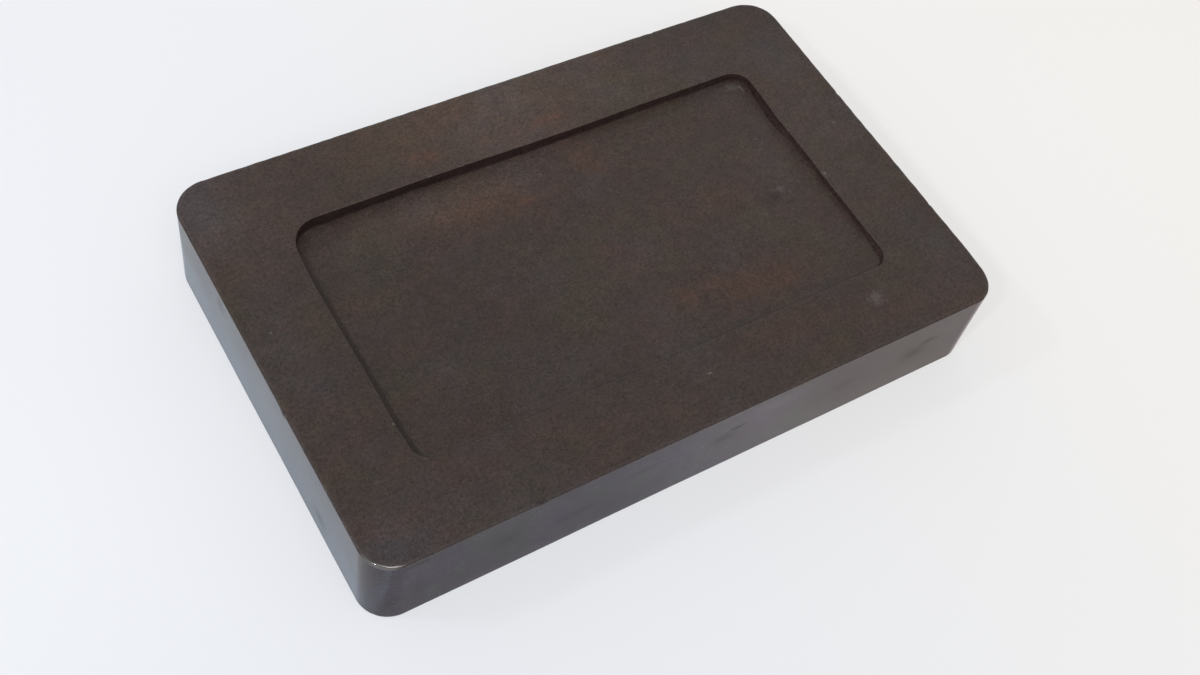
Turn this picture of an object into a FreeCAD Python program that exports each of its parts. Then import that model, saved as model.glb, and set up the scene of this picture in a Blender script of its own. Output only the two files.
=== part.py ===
"""A rectangular inkstone: one thick slab of dense slate-like stone with a sunk ink well.

Frame: +X along the slab, +Y towards its far long side, +Z up, in millimetres.
The origin is the middle of the underside, on the surface that the stone rests on.

The upper face is a flat frame about 25 mm wide round a shallow well. The well's
floor isn't level: it falls gently towards the far left corner, where the ink
gathers, so the wall there is more than twice as high as at the near right corner.
The wall leans in a little as it goes down and meets the floor in a small cove.
The well's two left corners are rounder than its right ones.
"""

import FreeCAD, Part
import Sketcher
import os

# Driving dimensions: name, value in millimetres or degrees, what it is
SIZES = [
    ("slab_length", 212.0, "length of the stone along X"),
    ("slab_width", 136.5, "width of the stone along Y"),
    ("slab_height", 31.4, "height of the stone"),
    ("corner_radius", 9.7, "radius of the four upright corners"),
    ("top_bevel", 0.6, "width of the rubbed bevel on the outer top edge"),
    ("bottom_bevel", 1.0, "width of the rubbed bevel on the bottom edge"),
    ("rim_left", 25.5, "width of the frame left of the well"),
    ("rim_right", 25.4, "width of the frame right of the well"),
    ("rim_near", 24.4, "width of the frame on the near side of the well"),
    ("rim_far", 26.3, "width of the frame on the far side of the well"),
    ("well_left_radius", 9.5, "radius of the well's left corners at the frame"),
    ("well_right_radius", 5.8, "radius of the well's right corners at the frame"),
    ("well_depth", 3.1, "depth of the floor below the middle of the upper face"),
    ("fall_to_left", 0.43, "degrees that the floor falls towards the left end"),
    ("fall_to_far", 0.92, "degrees that the floor falls towards the far side"),
    ("wall_lean", 3.0, "degrees that the well's wall leans in towards its foot"),
    ("foot_cove", 0.5, "radius of the cove where the wall meets the floor"),
    ("rim_bevel", 0.3, "width of the rubbed bevel on the frame's inner edge"),
]

TOUCH = 1e-4


def make_sheet(doc):
    """Writes the driving dimensions to a spreadsheet, one row each."""
    sheet = doc.addObject("Spreadsheet::Sheet", "sizes")
    for row, (alias, value, meaning) in enumerate(SIZES, start=1):
        sheet.set(f"A{row}", alias)
        sheet.set(f"B{row}", str(value))
        sheet.set(f"C{row}", meaning)
        sheet.setAlias(f"B{row}", alias)
    doc.recompute()
    return sheet


def origin_plane(body, role):
    """The body's own origin plane with this role."""
    for feature in body.Origin.OriginFeatures:
        if feature.Role == role:
            return feature
    raise RuntimeError(f"no origin plane {role}")


def new_sketch(body, name):
    """An empty sketch on the body's XY plane."""
    sketch = body.newObject("Sketcher::SketchObject", name)
    sketch.AttachmentSupport = [(origin_plane(body, "XY_Plane"), "")]
    sketch.MapMode = "FlatFace"
    return sketch


def rounded_rectangle(sketch, left, right, near, far, left_radius, right_radius):
    """Draws a rounded rectangle whose sides lie these expressions away from the origin."""
    half_x, half_y, bend = 100.0, 60.0, 5.0
    quarter = 90.0
    corners = [(1, 1), (-1, 1), (-1, -1), (1, -1)]
    arcs = []
    for turn, (side_x, side_y) in enumerate(corners):
        centre = FreeCAD.Vector(side_x * (half_x - bend), side_y * (half_y - bend), 0)
        circle = Part.Circle(centre, FreeCAD.Vector(0, 0, 1), bend)
        start = FreeCAD.Units.Quantity(f"{quarter * turn} deg").getValueAs("rad").Value
        end = FreeCAD.Units.Quantity(f"{quarter * (turn + 1)} deg").getValueAs("rad").Value
        arcs.append(sketch.addGeometry(Part.ArcOfCircle(circle, start, end)))
    sides = []
    for turn in range(4):
        start = sketch.getPoint(arcs[turn], 2)
        end = sketch.getPoint(arcs[(turn + 1) % 4], 1)
        sides.append(sketch.addGeometry(Part.LineSegment(start, end)))
    for turn in range(4):
        sketch.addConstraint(Sketcher.Constraint("Tangent", arcs[turn], 2, sides[turn], 1))
        following = arcs[(turn + 1) % 4]
        sketch.addConstraint(Sketcher.Constraint("Tangent", sides[turn], 2, following, 1))
    far_side, left_side, near_side, right_side = sides
    for side in (far_side, near_side):
        sketch.addConstraint(Sketcher.Constraint("Horizontal", side))
    for side in (left_side, right_side):
        sketch.addConstraint(Sketcher.Constraint("Vertical", side))
    far_right, far_left, near_left, near_right = arcs
    sketch.addConstraint(Sketcher.Constraint("Equal", far_left, near_left))
    sketch.addConstraint(Sketcher.Constraint("Equal", far_right, near_right))
    dimensions = [
        ("left", Sketcher.Constraint("DistanceX", left_side, 1, -1, 1, half_x), left),
        ("right", Sketcher.Constraint("DistanceX", -1, 1, right_side, 1, half_x), right),
        ("near", Sketcher.Constraint("DistanceY", near_side, 1, -1, 1, half_y), near),
        ("far", Sketcher.Constraint("DistanceY", -1, 1, far_side, 1, half_y), far),
        ("left_radius", Sketcher.Constraint("Radius", far_left, bend), left_radius),
        ("right_radius", Sketcher.Constraint("Radius", far_right, bend), right_radius),
    ]
    for name, constraint, expression in dimensions:
        index = sketch.addConstraint(constraint)
        sketch.renameConstraint(index, name)
        sketch.setExpression(f"Constraints.{name}", expression)


def edge_names(shape, wanted):
    """The names of the edges for which wanted(edge) holds."""
    return [f"Edge{i}" for i, edge in enumerate(shape.Edges, start=1) if wanted(edge)]


def face_names(shape, wanted):
    """The names of the faces for which wanted(face) holds."""
    return [f"Face{i}" for i, face in enumerate(shape.Faces, start=1) if wanted(face)]


def facing(face):
    """The face's outward normal at its middle."""
    middle = face.CenterOfMass
    return face.normalAt(*face.Surface.parameter(middle))


def lies_at_height(edge, height):
    """Whether the whole edge lies at this height."""
    box = edge.BoundBox
    return abs(box.ZMin - height) < TOUCH and abs(box.ZMax - height) < TOUCH


def bevel(body, name, base, edges, width):
    """Bevels the named edges of the base feature by the width expression."""
    chamfer = body.newObject("PartDesign::Chamfer", name)
    chamfer.Base = (base, edges)
    chamfer.setExpression("Size", width)
    body.Document.recompute()
    return chamfer


def make_inkstone(doc, sheet):
    """The stone: a rounded slab with eased edges and a well cut into its upper face."""
    body = doc.addObject("PartDesign::Body", "inkstone")
    body.Label = "inkstone"

    outline = new_sketch(body, "slab_outline")
    rounded_rectangle(
        outline,
        "sizes.slab_length / 2",
        "sizes.slab_length / 2",
        "sizes.slab_width / 2",
        "sizes.slab_width / 2",
        "sizes.corner_radius",
        "sizes.corner_radius",
    )
    slab = body.newObject("PartDesign::Pad", "slab")
    slab.Profile = outline
    slab.setExpression("Length", "sizes.slab_height")
    doc.recompute()

    rim_line = new_sketch(body, "rim_line")
    rim_line.setExpression("AttachmentOffset.Base.z", "sizes.slab_height")
    rounded_rectangle(
        rim_line,
        "sizes.slab_length / 2 - sizes.rim_left",
        "sizes.slab_length / 2 - sizes.rim_right",
        "sizes.slab_width / 2 - sizes.rim_near",
        "sizes.slab_width / 2 - sizes.rim_far",
        "sizes.well_left_radius",
        "sizes.well_right_radius",
    )
    floor_plane = body.newObject("PartDesign::Plane", "floor_plane")
    floor_plane.AttachmentSupport = [(origin_plane(body, "XY_Plane"), "")]
    floor_plane.MapMode = "FlatFace"
    floor_plane.setExpression(
        "AttachmentOffset",
        "create(<<placement>>; create(<<vector>>; 0; 0; sizes.slab_height - sizes.well_depth);"
        " create(<<rotation>>; 0; -sizes.fall_to_left; -sizes.fall_to_far))",
    )
    cut = body.newObject("PartDesign::Pocket", "well_cut")
    cut.Profile = rim_line
    cut.Type = "UpToFace"
    cut.UpToFace = (floor_plane, [""])
    doc.recompute()
    if cut.Shape.Volume >= slab.Shape.Volume:
        raise RuntimeError("the well cut nothing")

    well = body.newObject("PartDesign::Draft", "leaning_wall")
    well.Base = (cut, face_names(cut.Shape, lambda face: is_well_wall(face, sheet)))
    well.NeutralPlane = (cut, face_names(cut.Shape, lambda face: is_upper_face(face, sheet)))
    well.setExpression("Angle", "sizes.wall_lean")
    doc.recompute()
    if well.Shape.Volume <= cut.Shape.Volume:
        raise RuntimeError("the well's wall leans the wrong way")

    floor_face = max(
        (face for face in well.Shape.Faces if is_well_floor(face, sheet)),
        key=lambda face: face.Area,
    )
    floor_edges = edge_names(
        well.Shape, lambda edge: any(edge.isSame(other) for other in floor_face.Edges)
    )
    coved = body.newObject("PartDesign::Fillet", "coved_foot")
    coved.Base = (well, floor_edges)
    coved.setExpression("Radius", "sizes.foot_cove")
    doc.recompute()

    rim_edges = edge_names(coved.Shape, lambda edge: is_rim_edge(edge, sheet))
    eased_rim = bevel(body, "eased_rim", coved, rim_edges, "sizes.rim_bevel")
    top_edges = edge_names(eased_rim.Shape, lambda edge: is_outer_edge(edge, sheet))
    eased_top = bevel(body, "eased_top", eased_rim, top_edges, "sizes.top_bevel")
    bottom_edges = edge_names(eased_top.Shape, lambda edge: lies_at_height(edge, 0))
    body.Tip = bevel(body, "eased_bottom", eased_top, bottom_edges, "sizes.bottom_bevel")
    return body


def is_upper_face(face, sheet):
    """Whether the face is the stone's flat upper face."""
    box = face.BoundBox
    return facing(face).z > 0.99 and abs(box.ZMin - sheet.slab_height) < TOUCH


def is_well_wall(face, sheet):
    """Whether the face is an upright part of the well's wall."""
    return abs(facing(face).z) < 0.5 and lies_inside(face, sheet)


def is_well_floor(face, sheet):
    """Whether the face looks up from inside the well."""
    return facing(face).z > 0.9 and face.CenterOfMass.z < sheet.slab_height - TOUCH


def lies_inside(thing, sheet):
    """Whether the face or edge stays clear of the slab's outer sides."""
    box = thing.BoundBox
    reach_x = max(abs(box.XMin), abs(box.XMax))
    reach_y = max(abs(box.YMin), abs(box.YMax))
    return reach_x < sheet.slab_length / 2 - TOUCH and reach_y < sheet.slab_width / 2 - TOUCH


def is_rim_edge(edge, sheet):
    """Whether the edge is part of the well's outline in the upper face."""
    return lies_at_height(edge, sheet.slab_height) and lies_inside(edge, sheet)


def is_outer_edge(edge, sheet):
    """Whether the edge is part of the upper face's outer outline."""
    return lies_at_height(edge, sheet.slab_height) and not lies_inside(edge, sheet)


def check(doc, bodies):
    """Raises unless every object of the document worked and each body is one valid solid."""
    for thing in doc.Objects:
        if "Invalid" in thing.State or "Error" in thing.State:
            raise RuntimeError(f"{thing.Name} failed: {thing.State}")
    for body in bodies:
        if body.Shape.isNull() or not body.Shape.isValid():
            raise RuntimeError(f"{body.Label} has no valid shape")
        if len(body.Shape.Solids) != 1:
            raise RuntimeError(f"{body.Label} is not one solid")


def main():
    """Builds the stone and writes its shape to parts/."""
    doc = FreeCAD.newDocument("inkstone")
    sheet = make_sheet(doc)
    bodies = [make_inkstone(doc, sheet)]
    doc.recompute()
    check(doc, bodies)
    os.makedirs("parts", exist_ok=True)
    for body in bodies:
        body.Shape.exportStep(f"parts/{body.Label}.step")
        box = body.Shape.BoundBox
        print(body.Label, [round(v, 3) for v in (box.XLength, box.YLength, box.ZLength)])
        print("volume in cm3:", round(body.Shape.Volume / 1000, 2))


main()
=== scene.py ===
"""An inkstone add-on: builds the looks of a hand-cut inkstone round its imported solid.

The stone is one block. Its outline is drawn as closed rings that run from the
underside, up the sides, over the frame and down into the ink well, so every
edge is a real rounded edge with the wander, nicks and chips of hand work.
"""

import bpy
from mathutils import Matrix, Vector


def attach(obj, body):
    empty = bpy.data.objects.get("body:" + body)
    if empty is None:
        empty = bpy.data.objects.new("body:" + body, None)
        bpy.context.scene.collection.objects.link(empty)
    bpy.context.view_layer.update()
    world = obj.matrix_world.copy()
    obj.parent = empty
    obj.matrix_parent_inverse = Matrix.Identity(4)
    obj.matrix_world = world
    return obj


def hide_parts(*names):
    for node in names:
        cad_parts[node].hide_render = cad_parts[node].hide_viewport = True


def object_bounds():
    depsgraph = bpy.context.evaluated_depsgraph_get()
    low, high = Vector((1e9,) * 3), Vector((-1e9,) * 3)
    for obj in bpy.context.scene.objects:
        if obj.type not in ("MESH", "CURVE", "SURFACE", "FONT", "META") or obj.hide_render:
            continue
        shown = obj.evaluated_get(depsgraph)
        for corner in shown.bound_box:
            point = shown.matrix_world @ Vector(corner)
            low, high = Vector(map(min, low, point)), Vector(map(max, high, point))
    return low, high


bl_info = {
    "name": "Inkstone",
    "version": (1, 0, 0),
    "blender": (4, 5, 0),
    "location": "3D View > Sidebar > Inkstone",
    "description": "Builds a hand-cut inkstone with a sunk ink well, and a pale stage for it",
    "category": "Object",
}

import math

import bmesh
import bpy
import numpy as np
from bpy.props import FloatProperty, FloatVectorProperty, PointerProperty
from mathutils import Quaternion, Vector, noise

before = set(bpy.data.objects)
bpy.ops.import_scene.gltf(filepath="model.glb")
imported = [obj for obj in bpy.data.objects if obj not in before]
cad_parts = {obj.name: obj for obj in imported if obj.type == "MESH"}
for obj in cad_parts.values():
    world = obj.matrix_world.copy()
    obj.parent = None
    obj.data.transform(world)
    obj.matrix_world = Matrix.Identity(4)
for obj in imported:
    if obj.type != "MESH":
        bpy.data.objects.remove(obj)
CAD_LOW, CAD_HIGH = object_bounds()
NODE = "inkstone"
MM = 0.001

# How many steps the rings take along each long side, short side and corner
LONG_STEPS = 328
SHORT_STEPS = 208
CORNER_STEPS = 32

# Material slots of the stone, in the order of its mesh
UNDERSIDE, SIDE, ARRIS, TOP_FRAME, WALL, FLOOR = range(6)


def length_setting(name, description, millimetres):
    """A setting for a length, which is given here in millimetres."""
    return FloatProperty(
        name=name,
        description=description,
        default=millimetres * MM,
        unit="LENGTH",
    )


def colour_setting(name, description, default):
    """A setting for a colour."""
    return FloatVectorProperty(
        name=name,
        description=description,
        subtype="COLOR",
        default=default,
    )


def light_setting(name, description, default, unit="NONE"):
    """A setting for the strength of a light."""
    return FloatProperty(
        name=name,
        description=description,
        default=default,
        min=0.0,
        unit=unit,
    )


class StoneShape(bpy.types.PropertyGroup):
    """Sizes of the stone that the frame's box doesn't give."""

    corner_radius: length_setting(
        "Corner radius", "Radius of the two upright corners in front", 9.7
    )
    far_corner_radius: length_setting(
        "Far corner radius", "Radius of the two rounder upright corners at the back", 11.2
    )
    well_left_radius: length_setting(
        "Well far left corner", "Radius of the well's far left corner at the frame", 9.5
    )
    well_near_radius: length_setting(
        "Well near left corner", "Radius of the well's near left corner at the frame", 6.2
    )
    well_right_radius: length_setting(
        "Well right corners", "Radius of the well's two right corners at the frame", 5.8
    )
    top_arris: length_setting("Top edge", "Radius of the outer top edge", 0.55)
    bottom_arris: length_setting("Bottom edge", "Radius of the bottom edge", 1.0)
    rim_arris: length_setting("Inner edge", "Radius of the frame's edge round the well", 0.3)
    foot_cove: length_setting(
        "Foot cove", "Radius of the cove between the well's wall and floor", 0.4
    )
    wall_lean: FloatProperty(
        name="Wall lean",
        description="How far the well's wall leans in as it goes down",
        default=math.radians(3),
        subtype="ANGLE",
    )
    wander: length_setting(
        "Hand wander", "How far the chiselled wall strays from a straight line", 0.15
    )
    lapping: length_setting(
        "Lapping wave", "How far the hand-lapped faces fall short of flat", 0.12
    )


class StoneColours(bpy.types.PropertyGroup):
    """Colours of the stone and of what years of use left on it."""

    stone: colour_setting(
        "Stone", "Body colour of the dark purplish-brown stone", (0.041, 0.028, 0.024)
    )
    red: colour_setting("Reddish mottling", "Rusty clouds in the stone", (0.060, 0.031, 0.022))
    olive: colour_setting(
        "Olive mottling", "Greenish-brown clouds in the stone", (0.044, 0.034, 0.020)
    )
    grey: colour_setting(
        "Grey mottling", "Purplish-grey clouds in the stone", (0.046, 0.037, 0.040)
    )
    polished: colour_setting(
        "Lapped sides", "Purplish-grey stone of the lapped sides", (0.028, 0.022, 0.025)
    )
    violet: colour_setting(
        "Violet clouds", "Violet clouds in the lapped sides", (0.033, 0.024, 0.041)
    )
    moss: colour_setting(
        "Green clouds", "Greenish clouds in the lapped sides", (0.030, 0.034, 0.027)
    )
    slate: colour_setting(
        "Slate clouds", "Lighter grey clouds in the lapped sides", (0.043, 0.038, 0.041)
    )
    stained: colour_setting(
        "Stained wall", "Stone of the well's wall, soaked with ink", (0.040, 0.025, 0.023)
    )
    # Also the tint of painted shadow in two chips on the top edge and of painted shade along the foot
    # of the well's wall
    ink: colour_setting(
        "Dried ink", "Ink left in the corners and on the wall of the well", (0.013, 0.0065, 0.006)
    )
    # Also the colour of the painted light on the near side of the well's rim and on the floor beside
    # it
    scuff_and_light: colour_setting(
        "Scuffed stone", "Pale bruised stone on worn edges and scuffs", (0.15, 0.135, 0.13)
    )
    # Painted reflection: the pale colour of patches on the sides that stand in for the mirrored floor
    reflection_tint: colour_setting(
        "Haze", "Thin greenish-grey bloom that dried water left on the sides", (0.125, 0.130, 0.122)
    )
    edge: colour_setting(
        "Edges", "Stone of the outer edges, darkened by handling", (0.037, 0.028, 0.027)
    )
    rubbed: colour_setting(
        "Rubbed edges", "Greyed stone where the edges are rubbed", (0.085, 0.080, 0.084)
    )


class StageSettings(bpy.types.PropertyGroup):
    """The floor and the lamps."""

    # Painted light: the floor runs from the cool cast of the window lamps at the left to a warm cast
    # at the right
    cool_floor: colour_setting(
        "Floor at the left", "Colour of the pale floor on the left", (0.895, 0.912, 0.957)
    )
    warm_floor: colour_setting(
        "Floor at the right", "Colour of the pale floor on the right", (0.970, 0.950, 0.925)
    )
    sky: light_setting("Sky", "Strength of the even light from all round", 0.54)
    window_power: light_setting(
        "Window lamps", "Power of the cool lamps that stand for a window's panes", 3.7, "POWER"
    )
    room_power: light_setting("Room lamp", "Power of the wide soft lamp in front", 10.0, "POWER")


def measured_well():
    """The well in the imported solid: its outline in the frame and the plane of its floor."""
    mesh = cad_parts[NODE].data
    points = np.array([v.co for v in mesh.vertices])
    top = points[:, 2].max()
    at_top = points[:, 2] > top - 0.01 * MM
    edge_gap = 5 * MM
    inner = at_top & (np.abs(points[:, 0]) < CAD_HIGH.x - edge_gap)
    inner &= np.abs(points[:, 1]) < CAD_HIGH.y - edge_gap
    low, high = points[inner].min(0), points[inner].max(0)
    floor_corners = set()
    for face in mesh.polygons:
        if face.normal.z > 0.999 and face.center.z < top - MM:
            floor_corners.update(face.vertices)
    floor = points[sorted(floor_corners)]
    sides = np.c_[np.ones(len(floor)), floor[:, :2]]
    plane = np.linalg.lstsq(sides, floor[:, 2], rcond=None)[0]
    return low, high, plane


def outline(low, high, radii, stride=1):
    """Points and outward normals round a rounded rectangle, from the middle of one corner.

    The four radii go round from the far right corner by way of the far left one.
    """
    centre_x, centre_y = (low[0] + high[0]) / 2, (low[1] + high[1]) / 2
    half_x, half_y = (high[0] - low[0]) / 2, (high[1] - low[1]) / 2
    places, normals = [], []
    corners = ((1, 1), (-1, 1), (-1, -1), (1, -1))
    hubs = [
        np.array((side_x * (half_x - radius), side_y * (half_y - radius)))
        for (side_x, side_y), radius in zip(corners, radii)
    ]
    for turn in range(4):
        after = (turn + 1) % 4
        angle = (turn + np.arange(CORNER_STEPS) / CORNER_STEPS) * math.pi / 2
        ways = np.c_[np.cos(angle), np.sin(angle)]
        places.append(hubs[turn] + radii[turn] * ways)
        normals.append(ways)
        quarter = (turn + 1) * math.pi / 2
        way = np.array((math.cos(quarter), math.sin(quarter)))
        steps = LONG_STEPS if turn % 2 == 0 else SHORT_STEPS
        along = np.arange(steps)[:, None] / steps
        start, end = hubs[turn] + radii[turn] * way, hubs[after] + radii[after] * way
        places.append(start + (end - start) * along)
        normals.append(np.repeat(way[None], steps, 0))
    start = -(CORNER_STEPS // 2)
    places = np.roll(np.concatenate(places), start, 0) + (centre_x, centre_y)
    normals = np.roll(np.concatenate(normals), start, 0)
    return places[::stride], normals[::stride]


def ripple(points, reach, seed):
    """Smooth noise from about -1 to 1 at each point, with waves of this reach."""
    shift = Vector((seed * 17.31, seed * 5.17, seed * 9.73))
    return np.array([noise.noise(Vector(p) / reach + shift) for p in points])


# The tables below name sides of the well or of the slab. Each side has places along it, in
# millimetres, with the value at each. A side that a table leaves out has no value.

# How far the frame's hand-cut edge stands out from a straight line, in millimetres
EDGE_STRAYS = {
    "far": ((-70, 0.6), (-40, 0.55), (-20, 0.4), (0, 0.0), (20, -0.25), (40, -0.05), (70, 0.0)),
    "near": ((-70, -0.2), (-30, -0.1), (0, 0.3), (30, 0.2), (70, 0.0)),
    "left": ((-36, 0.1), (-30, 0.35), (-10, 0.25), (10, 0.4), (20, 0.4), (27, 0.1), (34, -0.3)),
    "right": ((-36, -0.2), (-10, -0.15), (0, 0.2), (10, 0.15), (20, 0.0), (27, 0.45), (36, 0.6)),
}

# How far the foot of the well's wall stands in from a straight line, in millimetres
FOOT_STRAYS = {
    "far": ((-80, -0.4), (-70, 0.0), (-40, -0.4), (-20, 0.0), (20, -0.15), (60, -0.1), (76, -0.1)),
    "left": ((-36, 0.0), (24, 0.0), (36, -0.5)),
    "right": (
        (-38, 0.9), (-30, 0.25), (-20, 0.1), (-10, -0.1), (10, -0.1),
        (15, 0.7), (22, 1.0), (30, 0.5), (36, -0.3),
    ),
}

# How far the slab's own outline stands out from a straight line, in millimetres. It falls
# short where use has rounded it.
SLAB_STRAYS = {
    "far": ((-96, 0.0), (0, -0.1), (60, -0.25), (96, -0.55)),
    "right": ((-66, -0.7), (-60, -0.5), (-54, -0.12), (-48, 0.0), (58, 0.0)),
}

# How dark the floor is painted along the foot of each wall: dried ink together with painted shade
# where the floor meets the wall
FOOT_INK_AND_SHADE = {
    "left": ((-43, 0.1), (-40, 0.7), (-20, 0.8), (18, 0.7), (30, 0.4), (38, 0.0)),
    "right": ((-36, 0.1), (36, 0.1)),
}

# How much ink has soaked into each wall
WALL_INK = {
    "far": ((-76, 0.9), (76, 0.75)),
    "near": ((-70, 0.3), (70, 0.3)),
    "left": ((-36, 0.9), (36, 0.9)),
    "right": ((-36, 0.1), (-16, 0.1), (-10, 0.0), (12, 0.0), (18, 0.6), (30, 0.6), (38, 0.3)),
}

# How much the frame's edge round the well is painted pale along each side: rubbed wear on the far and
# right sides, and painted light on the near side and at the near left corner, where the edge and the
# floor beside it would be in shade
EDGE_WEAR_AND_LIGHT = {
    "far": ((-76, 0.2), (76, 0.2)),
    "near": ((-80, 1.0), (-70, 0.5), (70, 0.3)),
    "left": ((-44, 1.5), (-41, 0.2), (36, 0.1)),
    "right": ((-36, 0.2), (36, 0.2)),
}


def side_values(points, ways, table):
    """Reads a table of values along each side at these points, smoothly round the corners."""
    x, y = points[:, 0] / MM, points[:, 1] / MM
    sides = {
        "far": (ways[:, 1], x),
        "near": (-ways[:, 1], x),
        "right": (ways[:, 0], y),
        "left": (-ways[:, 0], y),
    }
    total = np.zeros(len(points))
    for side, (facing, place) in sides.items():
        if side in table:
            places, values = zip(*table[side])
            total += np.clip(facing, 0, 1) ** 2 * np.interp(place, places, values)
    return total


def at_height(flat, height):
    """Flat points lifted to a height or to one height each."""
    return np.c_[flat, np.broadcast_to(height, len(flat))]


class Rings:
    """Collects rings of points and the faces between them, and makes one mesh of them."""

    def __init__(self):
        self.points, self.faces, self.slots = [], [], []
        self.masks = {"arris": [], "foot": []}
        self.last = None

    def add_points(self, points, **masks):
        """Adds points with their masks of wear and ink, which also carry painted light and shade, and
        returns their numbers.
        """
        first = len(self.points)
        self.points.extend(map(tuple, points))
        for name, values in self.masks.items():
            values.extend(np.broadcast_to(masks.get(name, 0.0), len(points)))
        return np.arange(first, first + len(points))

    def ring(self, points, slot, **masks):
        """Adds a ring and joins it to the last one, halving or doubling where they differ."""
        new = self.add_points(points, **masks)
        if self.last is not None:
            self.join(self.last, new, slot)
        self.last = new

    def join(self, one, two, slot):
        """Faces between two rings with the same number of points, or one with half as many."""
        if len(one) == len(two):
            one_next, two_next = np.roll(one, -1), np.roll(two, -1)
            made = np.c_[one, one_next, two_next, two].tolist()
        else:
            dense, thin = (one, two) if len(one) > len(two) else (two, one)
            start, middle = dense[::2], dense[1::2]
            end, thin_next = np.roll(start, -1), np.roll(thin, -1)
            made = np.c_[start, middle, thin].tolist()
            made += np.c_[middle, thin_next, thin].tolist()
            made += np.c_[middle, end, thin_next].tolist()
        self.faces += made
        self.slots += [slot] * len(made)

    def close(self, stride, height_of, slot, **masks):
        """Fills the last ring with a grid whose heights come from height_of(points)."""
        long_side = LONG_STEPS // stride + CORNER_STEPS // stride
        short_side = SHORT_STEPS // stride + CORNER_STEPS // stride
        ring = self.last
        loop = np.array([self.points[i] for i in ring])[:, :2]
        turn = long_side + short_side
        far = np.arange(0, long_side + 1)
        left = np.arange(long_side, turn + 1)
        near = np.arange(turn + long_side, turn - 1, -1)
        right = np.r_[0, np.arange(len(ring) - 1, turn + long_side - 1, -1)]
        u = np.linspace(0, 1, long_side + 1)[:, None, None]
        v = np.linspace(0, 1, short_side + 1)[None, :, None]
        grid = (1 - v) * loop[far][:, None] + v * loop[near][:, None]
        grid = grid + (1 - u) * loop[right][None] + u * loop[left][None]
        grid = grid - (1 - u) * (1 - v) * loop[0] - u * (1 - v) * loop[long_side]
        grid = grid - (1 - u) * v * loop[turn + long_side] - u * v * loop[turn]
        inner = grid[1:-1, 1:-1].reshape(-1, 2)
        numbers = np.zeros((long_side + 1, short_side + 1), int)
        numbers[:, 0], numbers[:, -1] = ring[far], ring[near]
        numbers[0], numbers[-1] = ring[right], ring[left]
        inside = self.add_points(at_height(inner, height_of(inner)), **masks)
        numbers[1:-1, 1:-1] = inside.reshape(long_side - 1, short_side - 1)
        start, end = numbers[:-1], numbers[1:]
        made = np.stack([start[:, :-1], end[:, :-1], end[:, 1:], start[:, 1:]], -1)
        made = made.reshape(-1, 4).tolist()
        self.faces += made
        self.slots += [slot] * len(made)

    def mesh(self, name):
        """The mesh, with its faces turned outwards and the masks as point attributes."""
        made = bpy.data.meshes.new(name)
        made.from_pydata(self.points, [], self.faces)
        made.polygons.foreach_set("material_index", self.slots)
        for mask, values in self.masks.items():
            attribute = made.attributes.new(mask, "FLOAT", "POINT")
            attribute.data.foreach_set("value", np.array(values, np.float32))
        shape = bmesh.new()
        shape.from_mesh(made)
        bmesh.ops.recalc_face_normals(shape, faces=shape.faces)
        shape.to_mesh(made)
        shape.free()
        made.polygons.foreach_set("use_smooth", [True] * len(made.polygons))
        made.update()
        return made


def quarter_turn(count):
    """Shares of a quarter round, without its two ends."""
    return np.arange(1, count + 1) / (count + 1) * math.pi / 2


def lapped(points, wide, narrow, seed):
    """How far lapping took each point below flat, about 0 to 1, in wide and narrow waves."""
    return 0.5 + 0.35 * ripple(points, wide * MM, seed) + 0.15 * ripple(points, narrow * MM, seed + 1)


def chiselled(points, reach, seed):
    """How far a chiselled line strays at each point, about -1 to 1, in long and short waves."""
    return 0.6 * ripple(points, reach * MM, seed) + 0.4 * ripple(points, 4 * MM, seed + 1)


def underside_height(points):
    """The ground underside rises a hair towards its middle, clear of what it stands on."""
    return 0.03 * MM + 0.03 * MM * ripple(at_height(points, 0), 30 * MM, 3)


# The corner that hands have rubbed most, and how far round it the edge is rounder, in
# millimetres
HANDLED_CORNER = (-102.6, -64.8)
HANDLED_REACH = 9

# Where rings lie, closer together where the form turns: shares of the way up the sides,
# across the frame and down the wall
SIDE_SHARES = (
    0.0, 0.01, 0.04, 0.1, 0.18, 0.27, 0.36, 0.45, 0.54, 0.63, 0.72, 0.81, 0.89, 0.95, 0.985, 1.0,
)
FRAME_SHARES = (
    0.0, 0.012, 0.03, 0.06, 0.11, 0.18, 0.27, 0.37, 0.48,
    0.59, 0.69, 0.78, 0.86, 0.92, 0.96, 0.985, 1.0,
)
WALL_SHARES = (0.0, 0.15, 0.3, 0.45, 0.6, 0.75, 0.9, 1.0)

# The underside's rings: millimetres in from its outline, and the step between the points
# of the outline that they keep
UNDERSIDE_RINGS = ((16, 8), (9, 4), (5, 2), (2.6, 1), (1.7, 1))

# The floor's rings: shares of the way in from its edge, and the same step. The innermost one
# is FLOOR_INSET in from the edge, in millimetres
FLOOR_RINGS = (
    (0.0, 1), (0.03, 1), (0.08, 1), (0.13, 1), (0.18, 1), (0.24, 1), (0.4, 2), (0.65, 4), (1.0, 8),
)
WIDEST_STRIDE = 8
FLOOR_INSET = 12

# Which share of the frame's width is rubbed along its outer edge, and up to which share of
# the way in the floor's rings lie along the foot of the wall
RUBBED_SHARE = 0.03
FOOT_SHARE = 0.15


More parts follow.
